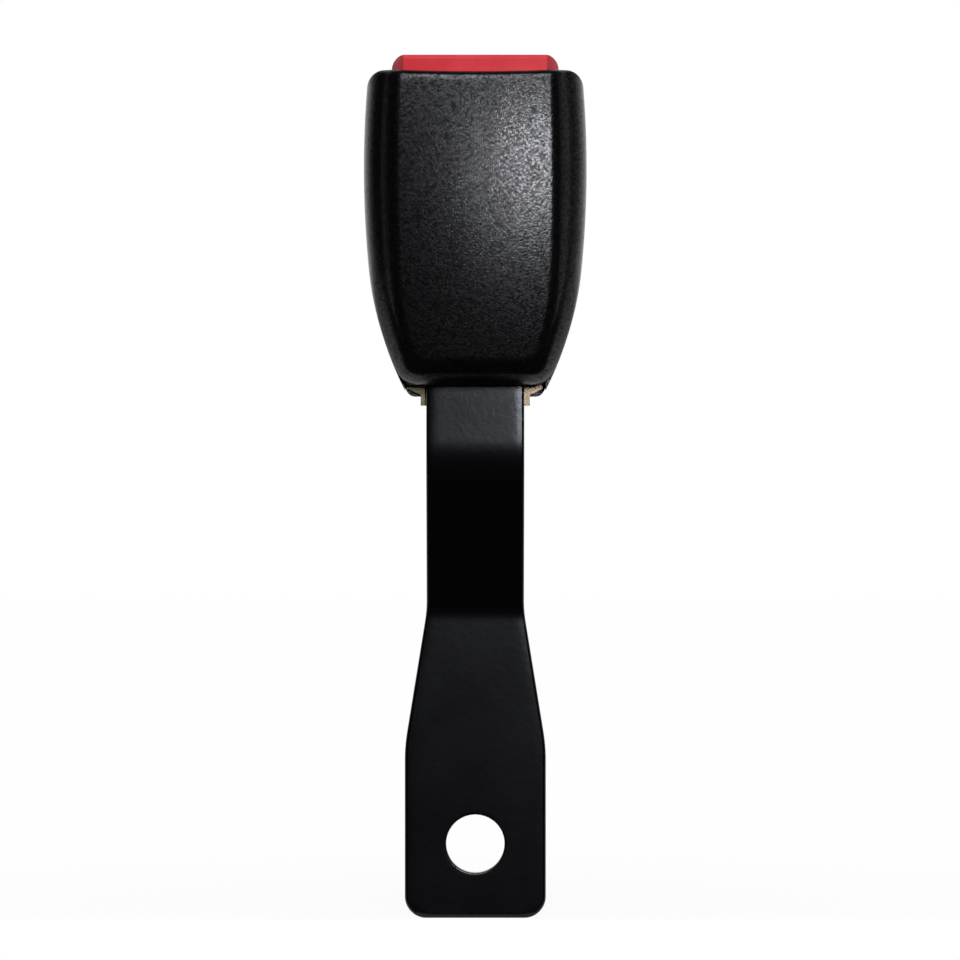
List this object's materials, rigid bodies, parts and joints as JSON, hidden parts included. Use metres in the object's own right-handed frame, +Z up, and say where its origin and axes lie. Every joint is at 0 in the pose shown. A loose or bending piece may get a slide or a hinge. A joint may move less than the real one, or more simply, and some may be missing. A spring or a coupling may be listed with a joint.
{
  "type": "seat belt buckle",
  "caption": "Push-button seat belt buckle in a moulded two-part housing with a sprung latch, on a bent steel anchor strap.",
  "frame": {"origin": "centre of the anchor bolt hole, on the rear face of the strap's foot", "axes": "+Z up the buckle from the bolt hole to the push button, -Y out of the front cover and along the bolt's way out, +X to the right seen from the front"},
  "size_m": [0.0468, 0.0337, 0.1827],
  "materials": {
    "cover_plastic": "fine moulded grain",
    "button_plastic": "smooth moulded",
    "strap_coat": "black powder coat",
    "frame_plate": "pale yellow zinc plating",
    "latch_steel": "hardened and oiled",
    "pin_steel": "bright zinc plating",
    "spring_steel": "drawn wire",
    "guide_plastic": "natural acetal",
    "ejector_plastic": "dark grey acetal",
    "bumper_rubber": "soft black rubber"
  },
  "bodies": {
    "housing": {"front_cover": "cover_plastic", "rear_cover": "cover_plastic", "frame": "frame_plate", "frame_bridge": "frame_plate", "anchor_strap": "strap_coat", "strap_rivet_left": "pin_steel", "strap_rivet_right": "pin_steel", "pivot_pin": "pin_steel", "pivot_pin_clip": "spring_steel", "tongue_guide": "guide_plastic", "button_bumper_left": "bumper_rubber", "button_bumper_right": "bumper_rubber", "button_spring_left": "spring_steel", "button_spring_right": "spring_steel", "ejector_spring": "spring_steel", "latch_spring": "spring_steel"},
    "button": {"push_button": "button_plastic", "lock_bar": "pin_steel"},
    "latch": {"latch_plate": "latch_steel"},
    "ejector": {"ejector": "ejector_plastic"}
  },
  "joints": [
    {"name": "button_slide", "type": "slide", "parent": "housing", "child": "button", "axis": [0, 0, -1], "range_m": [0, 0.0055], "stiffness_N_per_m": 900, "springref_m": -0.004, "deforming": ["button_spring_left", "button_spring_right"]},
    {"name": "latch_pivot", "type": "hinge", "parent": "housing", "child": "latch", "pos_m": [0, -0.0194, 0.112], "axis": [1, 0, 0], "range_deg": [0, 12.5], "deforming": ["latch_spring"]},
    {"name": "ejector_slide", "type": "slide", "parent": "housing", "child": "ejector", "axis": [0, 0, -1], "range_m": [0, 0.009], "stiffness_N_per_m": 250, "springref_m": -0.004, "deforming": ["ejector_spring"]}
  ],
  "couplings": [
    {"joint": "latch_pivot", "follows": "button_slide", "rad_per_m": 39.66}
  ]
}
